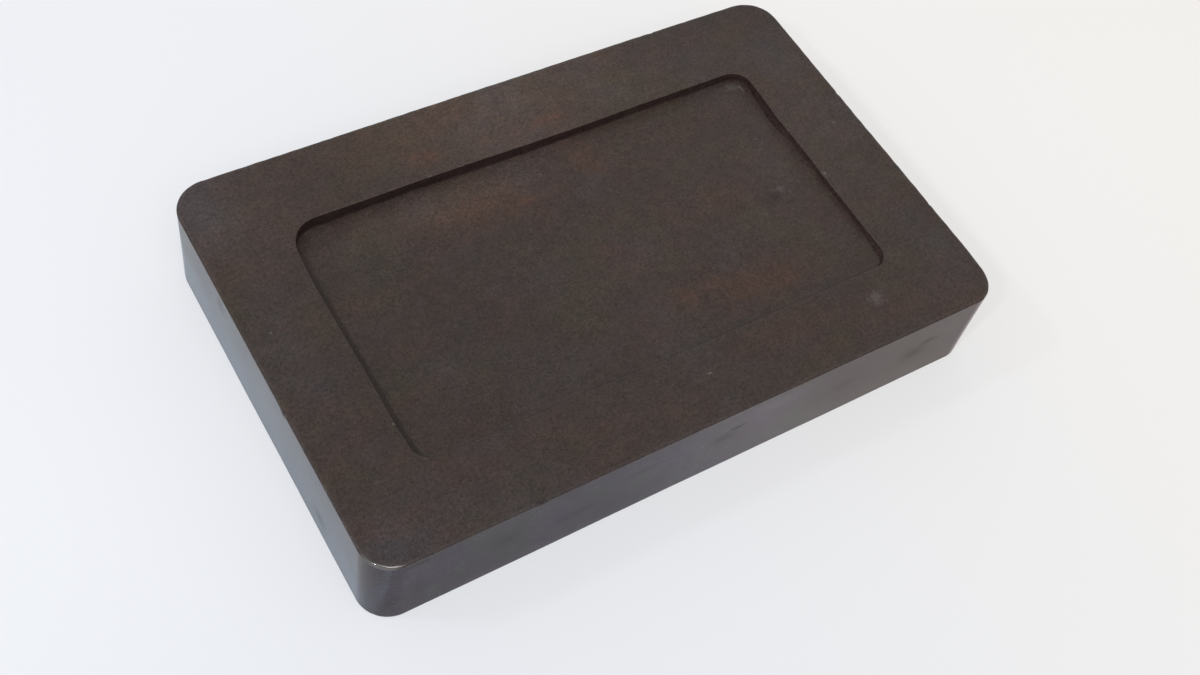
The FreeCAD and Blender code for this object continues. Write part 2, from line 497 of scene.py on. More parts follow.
class StoneRings(Rings):
    """The stone, as rings from the middle of its underside to the middle of the well's floor."""

    def __init__(self, shape):
        super().__init__()
        self.shape = shape
        self.top = CAD_HIGH.z
        self.side_line, self.side_way = self.slab_outline(0.0)
        self.bottom, self.arris = self.edge_radii()
        self.cut_rim()
        self.draw_underside()
        self.draw_bottom_edge()
        self.draw_sides()
        self.draw_top_edge()
        self.draw_frame()
        self.draw_inner_edge()
        self.draw_wall()

    def slab_outline(self, inset, stride=1):
        """The slab's outline and its normals, moved in by this much."""
        near, far = self.shape.corner_radius, self.shape.far_corner_radius
        radii = [max(radius - inset, 2 * MM) for radius in (far, far, near, near)]
        low, high = np.array(CAD_LOW)[:2] + inset, np.array(CAD_HIGH)[:2] - inset
        line, way = outline(low, high, radii, stride)
        return line + way * MM * side_values(line, way, SLAB_STRAYS)[:, None], way

    def edge_radii(self):
        """Radii of the bottom and the top edge, rounder in some places than in others."""
        ground = at_height(self.side_line, 0)
        bottom = self.shape.bottom_arris * (1 + 0.35 * ripple(ground, 25 * MM, 5))
        top = self.shape.top_arris * (1 + 0.4 * ripple(ground, 18 * MM, 7))
        top = top * (1 + 0.35 * ripple(ground, 3 * MM, 8))
        away = np.linalg.norm(self.side_line - np.array(HANDLED_CORNER) * MM, axis=1)
        handled = np.clip(1 - away / (HANDLED_REACH * MM), 0, 1)
        return bottom, top * (1 + 0.35 * handled)

    def cut_rim(self):
        """The line of the frame's edge round the well, as the hand cut it."""
        shape = self.shape
        low, high, self.plane = measured_well()
        left, near, right = shape.well_left_radius, shape.well_near_radius, shape.well_right_radius
        line, way = outline(low + shape.rim_arris, high - shape.rim_arris, (right, left, near, right))
        self.rim_ground = at_height(line, self.top)
        stray = shape.wander * chiselled(self.rim_ground, 20, 21)
        stray = stray + MM * side_values(line, way, EDGE_STRAYS)
        self.rim_way = way
        self.rim_line = line + way * stray[:, None]
        self.frame_end = self.rim_line + way * shape.rim_arris
        # Rubbed wear, and painted light by the near side of the well
        self.rim_wear_and_light = side_values(self.rim_line, way, EDGE_WEAR_AND_LIGHT)

    def floor_height(self, points):
        """Height of the well's hand-rubbed floor."""
        plain = self.plane[0] + points[:, 0] * self.plane[1] + points[:, 1] * self.plane[2]
        ground = at_height(points, 0)
        return plain + 0.06 * MM * ripple(ground, 22 * MM, 41) + 0.02 * MM * ripple(ground, 6 * MM, 42)

    def side_ring(self, inset, height, slot, worn):
        """A ring round the slab, moved in by an inset for each point."""
        line = self.side_line - self.side_way * inset[:, None]
        self.ring(at_height(line, height), slot, arris=worn)

    def draw_underside(self):
        """The flat-ground underside, from its middle out."""
        for inset, stride in UNDERSIDE_RINGS:
            line, _ = self.slab_outline(inset * MM, stride)
            self.ring(at_height(line, 0.0), UNDERSIDE)
            if stride == WIDEST_STRIDE:
                self.close(stride, underside_height, UNDERSIDE)

    def draw_bottom_edge(self):
        """The rounded bottom edge."""
        self.side_ring(self.bottom, 0.0, UNDERSIDE, 0.3)
        for turn in quarter_turn(5):
            inset = self.bottom * (1 - math.sin(turn))
            height = self.bottom * (1 - math.cos(turn))
            self.side_ring(inset, height, ARRIS, 0.8)

    def draw_sides(self):
        """The sides, lapped by hand and so a little wavy."""
        for share in SIDE_SHARES:
            height = self.bottom + (self.top - self.arris - self.bottom) * share
            wave = lapped(at_height(self.side_line, height), 45, 12, 11)
            inset = self.shape.lapping * wave * math.sin(math.pi * share)
            if share in (0.0, 1.0):
                self.side_ring(inset, height, ARRIS, 0.6)
            else:
                self.side_ring(inset, height, SIDE, 0.0)

    def draw_top_edge(self):
        """The rounded outer top edge."""
        for turn in quarter_turn(6):
            inset = self.arris * (1 - math.cos(turn))
            height = self.top - self.arris * (1 - math.sin(turn))
            self.side_ring(inset, height, ARRIS, 1.0)

    def draw_frame(self):
        """The frame round the well, lapped a little hollow."""
        start = self.side_line - self.side_way * self.arris[:, None]
        for share in FRAME_SHARES:
            line = at_height(start + (self.frame_end - start) * share, self.top)
            dip = lapped(line, 60, 15, 31)
            line[:, 2] -= self.shape.lapping * 0.5 * dip * math.sin(math.pi * share)
            self.ring(line, TOP_FRAME, arris=0.6 * max(0.0, 1 - share / RUBBED_SHARE))

    def draw_inner_edge(self):
        """The rounded edge of the frame round the well."""
        rim = self.shape.rim_arris
        for turn in quarter_turn(3):
            line = self.frame_end - self.rim_way * (rim * math.sin(turn))
            height = self.top - rim * (1 - math.cos(turn))
            # The arris mask here is rubbed wear, and painted light on the near side
            self.ring(at_height(line, height), TOP_FRAME, arris=self.rim_wear_and_light)

    def draw_wall(self):
        """The leaning, chiselled wall of the well, down to the cove at its foot."""
        foot = self.shape.wander * chiselled(self.rim_ground, 12, 51)
        foot = foot + MM * side_values(self.rim_line, self.rim_way, FOOT_STRAYS)
        lean = math.tan(self.shape.wall_lean)
        cove = self.shape.foot_cove * (1 + 0.4 * ripple(self.rim_ground, 15 * MM, 55))
        start = self.top - self.shape.rim_arris
        drop = start - self.floor_height(self.rim_line) - cove
        soaked = side_values(self.rim_line, self.rim_way, WALL_INK)
        for share in WALL_SHARES:
            place = at_height(self.rim_line, self.top - drop * share)
            chatter = 0.10 * MM * ripple(place, 2.5 * MM, 61)
            inset = lean * drop * share + foot * share ** 2 + chatter * share
            line = self.rim_line - self.rim_way * inset[:, None]
            self.ring(at_height(line, start - drop * share), WALL if share else TOP_FRAME, foot=soaked)
        self.draw_cove(line, cove, soaked)

    def draw_cove(self, wall_foot, cove, soaked):
        """The cove along the wall's foot, and the floor from its edge on."""
        for turn in quarter_turn(5):
            line = wall_foot - self.rim_way * (cove * (1 - math.cos(turn)))[:, None]
            height = self.floor_height(line) + cove * (1 - math.sin(turn))
            self.ring(at_height(line, height), WALL, foot=soaked)
        self.draw_floor(wall_foot - self.rim_way * cove[:, None])

    def draw_floor(self, edge):
        """The floor of the well, from its edge to its middle."""
        inset = FLOOR_INSET * MM
        middle, _ = outline(edge.min(0) + inset, edge.max(0) - inset, [2 * MM] * 4)
        foot_ink_and_shade = side_values(self.rim_line, self.rim_way, FOOT_INK_AND_SHADE)
        for share, stride in FLOOR_RINGS:
            line = (edge + (middle - edge) * share)[::stride]
            by_wall = float(share < FOOT_SHARE)
            # Along the wall's foot the foot mask paints ink and shade on the floor, and the arris mask
            # paints light beside the near side of the rim
            self.ring(
                at_height(line, self.floor_height(line)),
                FLOOR,
                foot=by_wall * foot_ink_and_shade[::stride],
                arris=0.5 * by_wall * self.rim_wear_and_light[::stride],
            )
        self.close(WIDEST_STRIDE, self.floor_height, FLOOR)


# Chips: middle in millimetres from the middle of the top face, reach along X, Y and Z,
# the way that the stone broke in, and how deep
CHIPS = (
    ((-106.2, -13.6, -0.1), (0.8, 1.5, 0.8), (1, 0, -1), 0.35),
    ((-57, -68.4, -0.1), (2.4, 0.8, 0.5), (0, 1, -1), 0.28),
    ((-34.6, 42.7, -0.1), (1.9, 0.8, 0.8), (0, 1, -1), 0.50),
    ((80.9, -6.6, -0.1), (0.6, 1, 0.6), (1, 0, -1), 0.25),
    ((106.1, 20, -0.1), (0.7, 1.1, 0.6), (-1, 0, -1), 0.18),
    ((106.1, -31, -0.1), (0.6, 0.9, 0.6), (-1, 0, -1), 0.20),
    ((62, 68, -0.1), (1, 0.8, 0.7), (0, -1, -1), 0.15),
    ((-72, 68.4, -31.3), (3, 1.1, 1.8), (0, -1, 1), 0.60),
    ((106.2, 12, -31.3), (1.1, 2.2, 1.5), (-1, 0, 1), 0.45),
)


def knock_chips(points):
    """Pushes the points inside each chip the way that the stone broke in."""
    for middle, reach, way, depth in CHIPS:
        heart = np.array(middle) * MM + (0, 0, CAD_HIGH.z)
        distance = np.linalg.norm((points - heart) / (np.array(reach) * MM), axis=1)
        hit = distance < 1
        rough = 1 + min(0.4, 0.12 / depth) * ripple(points[hit], 0.8 * MM, 71)
        push = depth * MM * np.sqrt(1 - distance[hit] ** 2) * rough
        points[hit] += np.array(way) / np.linalg.norm(way) * push[:, None]
    return points


# Fine nicks in the edges: how wide in millimetres, how rare, and the seed of their places
NICKS = ((1.6, 0.28, 81), (5.0, 0.35, 82))
NICK_DEPTH = 0.14


def nibble_edges(points, worn):
    """Wears fine nicks into the edges at the top and the bottom, where they are much worn."""
    half = CAD_HIGH.z / 2
    edge = (worn > 0.5) & (np.abs(points[:, 2] - half) > half - 2 * MM)
    some = points[edge]
    bite = sum(
        np.clip(ripple(some, width * MM, seed) - rare, 0, 1) * 0.5 for width, rare, seed in NICKS
    )
    inwards = -some * (1, 1, 0)
    inwards /= np.linalg.norm(inwards, axis=1)[:, None]
    outer = np.abs(some[:, 0]) > CAD_HIGH.x - 4 * MM
    outer |= np.abs(some[:, 1]) > CAD_HIGH.y - 4 * MM
    inwards[~outer] *= -1
    inwards[:, 2] = np.where(some[:, 2] > half, -1.0, 1.0)
    points[edge] += inwards * (bite * NICK_DEPTH * MM)[:, None]
    return points


def add_object(name, data):
    """A new object in the scene."""
    made = bpy.data.objects.new(name, data)
    bpy.context.scene.collection.objects.link(made)
    return made


def empty_tree(owner):
    """The emptied node tree of a material or of the world."""
    owner.use_nodes = True
    owner.node_tree.nodes.clear()
    return owner.node_tree


def feed(tree, socket, value):
    """Links another socket to an input socket, or sets the input's value."""
    if isinstance(value, bpy.types.NodeSocket):
        tree.links.new(value, socket)
    else:
        socket.default_value = value


def add_node(tree, kind, settings=None, **inputs):
    """Adds a shader node, with its settings and what feeds its inputs."""
    made = tree.nodes.new(kind)
    for name, value in (settings or {}).items():
        setattr(made, name, value)
    for name, value in inputs.items():
        feed(tree, made.inputs[name.replace("_", " ")], value)
    return made


def math_node(tree, operation, *values, clamp=False):
    """A maths node's result for these values or sockets."""
    made = add_node(tree, "ShaderNodeMath", {"operation": operation, "use_clamp": clamp})
    for socket, value in zip(made.inputs, values):
        feed(tree, socket, value)
    return made.outputs[0]


def product(tree, first, *others):
    """The product of several values or sockets."""
    for other in others:
        first = math_node(tree, "MULTIPLY", first, other)
    return first


def sum_of(tree, first, *others):
    """The sum of several values or sockets."""
    for other in others:
        first = math_node(tree, "ADD", first, other)
    return first


def vector_node(tree, operation, *sockets):
    """A vector maths node's outputs for these sockets."""
    made = add_node(tree, "ShaderNodeVectorMath", {"operation": operation})
    for socket, value in zip(made.inputs, sockets):
        feed(tree, socket, value)
    return made.outputs


def mix_colours(tree, factor, one, two, blend="MIX"):
    """Colour one turned into colour two by the factor."""
    made = add_node(tree, "ShaderNodeMix", {"data_type": "RGBA", "blend_type": blend})
    for number, value in ((0, factor), (6, one), (7, two)):
        feed(tree, made.inputs[number], value)
    return made.outputs[2]


def map_range(tree, value, low, high, to_low=0.0, to_high=1.0, kind="LINEAR"):
    """A value from low to high, turned into one from to_low to to_high."""
    made = add_node(
        tree,
        "ShaderNodeMapRange",
        {"interpolation_type": kind},
        Value=value,
        From_Min=low,
        From_Max=high,
        To_Min=to_low,
        To_Max=to_high,
    )
    return made.outputs["Result"]


def spread(tree, value, low, high, to_low=0.0, to_high=1.0):
    """A smooth step of value from low to high."""
    return map_range(tree, value, low, high, to_low, to_high, "SMOOTHSTEP")


def point_mask(tree, name):
    """One of the mesh's masks, by its name."""
    return add_node(tree, "ShaderNodeAttribute", {"attribute_name": name}).outputs["Fac"]


def clouds(tree, place, per_metre, detail=2.0, roughness=0.5, distortion=0.0):
    """Noise over the stone with this many clouds to the metre."""
    made = add_node(
        tree,
        "ShaderNodeTexNoise",
        Vector=place,
        Scale=per_metre,
        Detail=detail,
        Roughness=roughness,
        Distortion=distortion,
    )
    return made.outputs["Fac"]


def new_group(name, inputs, outputs):
    """An empty node group with sockets of each kind, and its input and output nodes."""
    tree = bpy.data.node_groups.new(name, "ShaderNodeTree")
    for side, sockets in (("INPUT", inputs), ("OUTPUT", outputs)):
        for kind, names in sockets.items():
            for socket in names:
                tree.interface.new_socket(socket, in_out=side, socket_type=f"NodeSocket{kind}")
    return tree, tree.nodes.new("NodeGroupInput").outputs, tree.nodes.new("NodeGroupOutput").inputs


def stone_place(tree, offset=(0.0, 0.0, 0.0), stretch=(1.0, 1.0, 1.0), turn=0.0):
    """The place on the stone, in metres, moved and stretched for one pattern."""
    where = tree.nodes.new("ShaderNodeTexCoord").outputs["Object"]
    made = add_node(tree, "ShaderNodeMapping", Vector=where, Location=offset, Scale=stretch)
    made.inputs["Rotation"].default_value = (0.0, 0.0, turn)
    return made.outputs["Vector"]


def mottling_group():
    """Clouds of reddish and olive stone in the body colour, with fine speckle."""
    tints = ("Red", "Olive", "Grey")
    amounts = [f"{tint} Amount" for tint in tints]
    tree, given, result = new_group(
        "stone mottling",
        {"Color": ("Stone", *tints), "Float": (*amounts, "Red Patch", "Grey Patch", "Speckle")},
        {"Color": ("Colour",)},
    )
    place = stone_place(tree)
    elsewhere = stone_place(tree, offset=(0.31, 0.17, 0.05))
    turned = stone_place(tree, offset=(0.11, 0.43, 0.2), stretch=(0.7, 1.2, 1.0), turn=0.5)
    red_clouds = spread(tree, clouds(tree, turned, 60.0, 4.0, 0.6, 0.4), 0.46, 0.70)
    olive_clouds = spread(tree, clouds(tree, elsewhere, 55.0, 4.0, 0.6, 0.3), 0.46, 0.68)
    grey_clouds = spread(tree, clouds(tree, place, 50.0, 4.0, 0.6, 0.3), 0.46, 0.70)
    broad = clouds(tree, elsewhere, 11.0, 2.0)
    red = product(tree, red_clouds, given["Red Amount"])
    cloudy = spread(tree, red_clouds, 0.0, 0.8, 0.6, 1.0)
    patch = product(tree, given["Red Patch"], cloudy)
    red = math_node(tree, "ADD", red, patch, clamp=True)
    olive = product(tree, olive_clouds, given["Olive Amount"])
    grey = product(tree, grey_clouds, given["Grey Amount"])
    grey = math_node(tree, "ADD", grey, given["Grey Patch"], clamp=True)
    colour = mix_colours(tree, olive, given["Stone"], given["Olive"])
    colour = mix_colours(tree, grey, colour, given["Grey"])
    colour = mix_colours(tree, red, colour, given["Red"])
    grain = clouds(tree, place, 2300.0, 1.0, 0.6)
    flecks = clouds(tree, place, 950.0, 2.0, 0.7)
    both = sum_of(tree, grain, flecks)
    swing = product(tree, math_node(tree, "SUBTRACT", both, 1.0), given["Speckle"])
    shade = sum_of(tree, 1.0, swing)
    shade = product(tree, shade, spread(tree, broad, 0.3, 0.7, 0.92, 1.08))
    small = clouds(tree, elsewhere, 240.0, 2.0, 0.6)
    shade = product(tree, shade, spread(tree, small, 0.3, 0.7, 0.90, 1.10))
    tone = add_node(tree, "ShaderNodeCombineColor", Red=shade, Green=shade, Blue=shade)
    colour = mix_colours(tree, 1.0, colour, tone.outputs["Color"], "MULTIPLY")
    tree.links.new(colour, result["Colour"])
    return tree


def grain_group():
    """Height and sheen of finely ground stone: grain, pores and hairlines rubbed into it."""
    tree, given, result = new_group(
        "ground grain",
        {"Float": ("Pores", "Hairlines")},
        {"Float": ("Height", "Sheen")},
    )
    place = stone_place(tree)
    along = stone_place(tree, stretch=(0.04, 1.0, 1.0), turn=0.35)
    across = stone_place(tree, offset=(0.2, 0.1, 0.0), stretch=(0.05, 1.0, 1.0), turn=-0.9)
    grain = clouds(tree, place, 2600.0, 2.0, 0.6)
    pores = spread(tree, clouds(tree, place, 900.0, 1.0), 0.62, 0.78)
    lines = spread(tree, clouds(tree, along, 1800.0, 1.0), 0.64, 0.74)
    more = spread(tree, clouds(tree, across, 1500.0, 1.0), 0.66, 0.76)
    lines = product(tree, sum_of(tree, lines, more), given["Hairlines"])
    pits = product(tree, pores, given["Pores"])
    cut = sum_of(tree, product(tree, lines, 0.5), pits)
    tree.links.new(math_node(tree, "SUBTRACT", grain, cut), result["Height"])
    smooth = clouds(tree, place, 45.0, 3.0, 0.6)
    sheen = sum_of(tree, product(tree, lines, 0.5), smooth)
    tree.links.new(sheen, result["Sheen"])
    return tree


def mark_group():
    """One ragged mark on the stone: 1 in its middle, 0 outside."""
    tree, given, result = new_group(
        "single mark",
        {"Vector": ("Place", "Reach"), "Float": ("Ragged", "Softness")},
        {"Float": ("Mask",)},
    )
    where = tree.nodes.new("ShaderNodeTexCoord").outputs["Object"]
    away = vector_node(tree, "SUBTRACT", where, given["Place"])["Vector"]
    share = vector_node(tree, "DIVIDE", away, given["Reach"])["Vector"]
    length = vector_node(tree, "LENGTH", share)["Value"]
    torn = math_node(tree, "SUBTRACT", clouds(tree, where, 900.0, 3.0, 0.6), 0.5)
    distance = sum_of(tree, length, product(tree, torn, given["Ragged"], 3.0))
    inner = math_node(tree, "SUBTRACT", 1.0, given["Softness"])
    faded = spread(tree, distance, inner, 1.0, 1.0, 0.0)
    tree.links.new(faded, result["Mask"])
    return tree


def wear_and_light_group():
    """Where an edge is rubbed pale, from the arris mask of the mesh. By the near side of the well the
    same mask paints light over shade.
    """
    tree, given, result = new_group("edge wear and painted light", {"Float": ("Amount",)}, {"Float": ("Mask",)})
    patches = clouds(tree, stone_place(tree), 260.0, 3.0, 0.65)
    patchy = spread(tree, patches, 0.3, 0.65, 0.35, 1.0)
    mask = product(tree, point_mask(tree, "arris"), patchy, given["Amount"])
    tree.links.new(mask, result["Mask"])
    return tree


def use_group(tree, group, **inputs):
    """Places a node group in a material with its own values and returns its outputs."""
    return add_node(tree, "ShaderNodeGroup", {"node_tree": group}, **inputs).outputs


# Marks: middle in millimetres from the middle of the top face, reach along X, Y and Z,
# how ragged, how soft, and how strong
PALE_MARKS = (
    ((67.5, -53.2, 0), (4.6, 3.2, 3), 0.8, 1, 0.34),
    ((6.5, -53.5, 0), (1.1, 0.5, 2), 0.5, 0.8, 0.7),
    ((76, 38.4, -3.4), (4.4, 2.4, 3), 0.5, 1, 0.42),
    ((78.7, 36.4, -3.4), (0.9, 3.4, 3), 0.4, 1, 0.45),
    ((78.6, 37.6, -2.8), (0.6, 0.6, 1.4), 0.4, 0.8, 1),
    ((81.4, -6.6, 0), (0.6, 1, 2), 0.5, 0.6, 0.6),
    ((97, 10, 0), (1.2, 1, 2), 0.5, 0.8, 0.35),
    ((-98.6, 11, 0), (0.5, 0.5, 2), 0.3, 0.5, 0.6),
    ((-81.2, -29.5, 0), (0.5, 0.5, 2), 0.3, 0.5, 0.5),
    ((66.2, -4.4, -3), (2.4, 1.8, 3), 0.6, 1, 0.32),
)
DARK_MARKS = (
    ((62.8, -6.6, -3), (3.4, 2.9, 4), 0.6, 1, 0.65),
    ((-48, -14, -3), (14, 10, 8), 0.5, 1, 0.20),
    ((58.5, -57.5, 0), (5, 3, 4), 0.6, 1, 0.25),
)
RED_PATCHES = (
    ((-22, 26.5, -3), (31, 11, 30), 0.5, 0.85, 1),
    ((15.6, 30, -3), (7, 9, 30), 0.5, 1, 0.8),
    ((47, 0, -3), (14, 12, 30), 0.5, 1, 0.75),
    ((15.6, -28.5, -3), (9, 7, 30), 0.5, 1, 0.8),
    ((44, -31.5, -3), (29, 12, 30), 0.5, 0.85, 1),
    ((35, -51, 0), (26, 8, 30), 0.5, 0.9, 0.9),
    ((-31, 50, 0), (10, 6, 30), 0.5, 1, 0.8),
    ((13, 49, 0), (13, 5, 30), 0.5, 1, 0.7),
    ((84, 30, 0), (5, 16, 30), 0.5, 1, 0.5),
)
GREY_PATCHES = (
    ((-100, 56, 0), (16, 22, 30), 0.5, 1, 0.9),
    ((-98, -62, 0), (16, 14, 30), 0.5, 1, 0.7),
    ((-94, 0, 0), (12, 50, 30), 0.5, 1, 0.35),
    ((96, 40, 0), (12, 26, 30), 0.5, 1, 0.5),
    ((98, -45, 0), (12, 24, 30), 0.5, 1, 0.5),
    ((12, -8, -3), (12, 9, 30), 0.5, 1, 0.6),
    ((60, 55, 0), (14, 8, 30), 0.5, 1, 0.45),
    ((-56, -18, -3), (18, 9, 30), 0.5, 1, 0.4),
)
# Painted light: zones where the frame and the floor are painted lighter for the light that falls
# there, chiefly along the far part of the frame and on the floor under the far wall
PAINTED_LIGHT_ZONES = (
    ((-5, 62, 0), (85, 42, 60), 0.1, 1, 0.92),
    ((-84, 52, 0), (54, 34, 60), 0.1, 1, 0.36),
    ((-38, 35, -3), (56, 15, 30), 0.3, 1, 0.85),
    ((80, 10, 0), (60, 90, 60), 0.1, 1, 0.24),
    ((90, -55, 0), (40, 30, 60), 0.1, 1, 0.25),
)
SIDE_MARKS = (
    ((9.2, -68.2, -9.8), (5, 3, 1.8), 0.3, 0.9, 1),
    ((5, -68.2, -13), (8, 4, 4.5), 0.3, 1, 0.7),
    ((-24, -68.2, -9.5), (17, 4, 1.3), 0.3, 1, 0.5),
    ((-66, -68.2, -13), (8, 4, 5), 0.3, 1, 0.6),
    ((-44, -68.2, -17), (12, 4, 4), 0.3, 1, 0.5),
    ((49, -68.2, -15), (8, 4, 4), 0.3, 1, 0.5),
    ((76.5, -68.2, -15), (9, 4, 7), 0.4, 1, 0.9),
    ((81, -68.2, -11.5), (8, 4, 3), 0.4, 1, 0.9),
    ((-92, -68.2, -18), (6, 4, 9), 0.3, 1, 0.5),
    ((-93, -68.2, -2.3), (7, 4, 1.7), 0.2, 0.9, 0.7),
    ((-106, 28.8, -5), (4, 4, 6), 0.3, 1, 0.6),
    ((-106, -36, -22.5), (4, 7, 5), 0.3, 1, 0.6),
)
# Painted reflection: pale patches on the left face and the front that stand in for the pale floor
# mirrored there
SIDE_PAINTED_REFLECTIONS = (
    ((-106, 53, -8), (4, 26, 18), 0.1, 1, 0.60),
    ((24, -68.2, -6), (16, 4, 6), 0.1, 1, 0.18),
    ((64, -68.2, -28), (56, 4, 9), 0.1, 1, 0.20),
    ((-60, -68.2, -31), (60, 4, 7), 0.1, 1, 0.16),
)
# Painted shadow: dark marks in two chips on the top edge, where their undercut sides would be in shade
CHIP_SHADOWS = (
    ((-57, -67.7, 0), (2.3, 0.7, 0.6), 0.3, 0.4, 1),
    ((-106, -13.6, -0.2), (1, 1.2, 1), 0.3, 0.4, 0.8),
)
EDGE_POLISH = (((*HANDLED_CORNER, 0), (7, 7, 1.3), 0.1, 0.5, 1),)
EDGE_SCUFFS = (
    ((100, -67.5, -0.3), (1.4, 1.1, 1.2), 0.3, 0.4, 1),
    ((-34.6, 43, 0), (1.6, 0.6, 0.8), 0.5, 0.6, 0.6),
)


# How much lighter the stone is painted in its zones of painted light
PAINTED_LIGHT_LIFT = (1.75, 1.7, 1.6)

# How far the sheen of the ground stone swings its roughness, and how much duller dark and
# pale marks are
SHEEN_SWING = 0.16
DARK_DULLING = 0.15
PALE_DULLING = 0.2

# The thin glossy skin where hands have polished an edge
POLISH_ROUGHNESS = 0.12
POLISH_IOR = 2.0


def opaque(colour):
    """A colour with full alpha."""
    return (*colour, 1.0)


def all_marks(tree, group, marks):
    """The strongest of several marks at each place, or nothing where there are none."""
    strongest = 0.0
    for middle, reach, ragged, softness, strength in marks:
        mask = use_group(
            tree,
            group,
            Place=Vector(middle) * MM + Vector((0, 0, CAD_HIGH.z)),
            Reach=Vector(reach) * MM,
            Ragged=ragged,
            Softness=softness,
        )["Mask"]
        mask = product(tree, mask, strength)
        strongest = math_node(tree, "MAXIMUM", strongest, mask)
    return strongest


class Finishes:
    """Builds the shader groups once and each finish of the stone from them."""

    def __init__(self, colours):
        self.colours = colours
        self.mottling = mottling_group()
        self.grain = grain_group()
        self.mark = mark_group()
        self.wear = wear_and_light_group()

    def start(self, name):
        """A material with only a Principled shader, which it returns with its tree."""
        material = bpy.data.materials.new(name)
        tree = empty_tree(material)
        shader = tree.nodes.new("ShaderNodeBsdfPrincipled")
        output = tree.nodes.new("ShaderNodeOutputMaterial")
        tree.links.new(shader.outputs["BSDF"], output.inputs["Surface"])
        return material, tree, shader

    def body_colour(self, tree, stone, tints, amounts, speckle, red_at, grey_at, painted_light_at):
        """The stone's mottled colour, with its patches where the photograph shows them."""
        colour = use_group(
            tree,
            self.mottling,
            Stone=opaque(stone),
            Red=opaque(tints[0]),
            Olive=opaque(tints[1]),
            Grey=opaque(tints[2]),
            Red_Amount=amounts[0],
            Olive_Amount=amounts[1],
            Grey_Amount=amounts[2],
            Speckle=speckle,
            Red_Patch=all_marks(tree, self.mark, red_at),
            Grey_Patch=all_marks(tree, self.mark, grey_at),
        )["Colour"]
        # Painted light: the colour is lifted in its zones of painted light
        if painted_light_at:
            lifted = mix_colours(tree, 1.0, colour, opaque(PAINTED_LIGHT_LIFT), "MULTIPLY")
            colour = mix_colours(tree, all_marks(tree, self.mark, painted_light_at), colour, lifted)
        return colour

    def marked(self, tree, colour, gloss, marks, tint, dulling):
        """The colour and roughness of the stone with these marks on it."""
        if marks:
            mask = all_marks(tree, self.mark, marks)
            colour = mix_colours(tree, mask, colour, opaque(tint))
            gloss = sum_of(tree, gloss, product(tree, mask, dulling))
        return colour, gloss

    def inked(self, tree, colour, ink):
        """The colour with ink where the foot mask of the mesh has it. On the floor along the wall's
        foot this is ink together with painted shade.
        """
        patches = clouds(tree, stone_place(tree), 150.0, 3.0)
        patchy = spread(tree, patches, 0.3, 0.7, 0.7, 1.0)
        stained = product(tree, point_mask(tree, "foot"), patchy, ink)
        return mix_colours(tree, stained, colour, opaque(self.colours.ink))

    def finish(
        self,
        name,
        roughness,
        stone=None,
        tints=None,
        amounts=(0.4, 0.5, 0.4),
        speckle=1.45,
        pores=0.5,
        hairlines=0.4,
        bump=0.5,
        depth=0.05,
        wear=0.3,
        worn=None,
        pale=(),
        bloom=None,
        dark=(),
        red_at=(),
        grey_at=(),
        painted_light_at=(),
        polish_at=(),
        ink=0.0,
        ior=1.44,
    ):
        """One finish of the stone."""
        own = self.colours
        material, tree, shader = self.start(name)
        shader.inputs["IOR"].default_value = ior
        tints = tints or (own.red, own.olive, own.grey)
        colour = self.body_colour(
            tree, stone or own.stone, tints, amounts, speckle, red_at, grey_at, painted_light_at
        )
        ground = use_group(tree, self.grain, Pores=pores, Hairlines=hairlines)
        sheen = math_node(tree, "SUBTRACT", ground["Sheen"], 0.5)
        gloss = sum_of(tree, product(tree, sheen, SHEEN_SWING), roughness)
        if ink:
            colour = self.inked(tree, colour, ink)
        # Dark marks take the ink colour; in the chips of the top edge they are painted shadow
        colour, gloss = self.marked(tree, colour, gloss, dark, own.ink, DARK_DULLING)
        colour, gloss = self.marked(tree, colour, gloss, pale, bloom or own.scuff_and_light, PALE_DULLING)
        # Rubbed edges, and painted light by the near side of the well
        rubbed = use_group(tree, self.wear, Amount=wear)["Mask"]
        colour = mix_colours(tree, rubbed, colour, opaque(worn or own.scuff_and_light))
        if polish_at:
            feed(tree, shader.inputs["Coat Weight"], all_marks(tree, self.mark, polish_at))
            shader.inputs["Coat Roughness"].default_value = POLISH_ROUGHNESS
            shader.inputs["Coat IOR"].default_value = POLISH_IOR
        relief = add_node(
            tree, "ShaderNodeBump", Strength=bump, Distance=depth * MM, Height=ground["Height"]
        )
        feed(tree, shader.inputs["Base Color"], colour)
        feed(tree, shader.inputs["Roughness"], gloss)
        feed(tree, shader.inputs["Normal"], relief.outputs["Normal"])
        return material

    def sawn_underside(self):
        """The flat-ground underside, duller and coarser than the rest."""
        return self.finish(
            "sawn_underside",
            0.62,
            amounts=(0.4, 0.5, 0.7),
            pores=0.9,
            hairlines=1.0,
            depth=0.09,
            wear=0.4,
        )

    def lapped_side(self):
        """The lapped sides: purplish grey, smoother, with fine dark marks and pale patches of painted
        reflection.
        """
        return self.finish(
            "lapped_side",
            0.17,
            stone=self.colours.polished,
            tints=(self.colours.violet, self.colours.moss, self.colours.slate),
            amounts=(0.9, 0.8, 0.5),
            speckle=1.7,
            pores=0.2,
            hairlines=0.3,
            bump=0.3,
            depth=0.02,
            wear=0.1,
            # pale patches of painted reflection
            pale=SIDE_PAINTED_REFLECTIONS,
            bloom=self.colours.reflection_tint,
            dark=SIDE_MARKS,
            ior=1.28,
        )

    def rubbed_edge(self):
        """The outer edges, rubbed smooth and greyed."""
        return self.finish(
            "rubbed_edge",
            0.18,
            stone=self.colours.edge,
            pores=0.3,
            bump=0.3,
            depth=0.03,
            wear=0.06,
            worn=self.colours.rubbed,
            # painted shadow in two chips of the top edge
            dark=CHIP_SHADOWS,
            pale=EDGE_SCUFFS,
            polish_at=EDGE_POLISH,
            ior=1.38,
        )

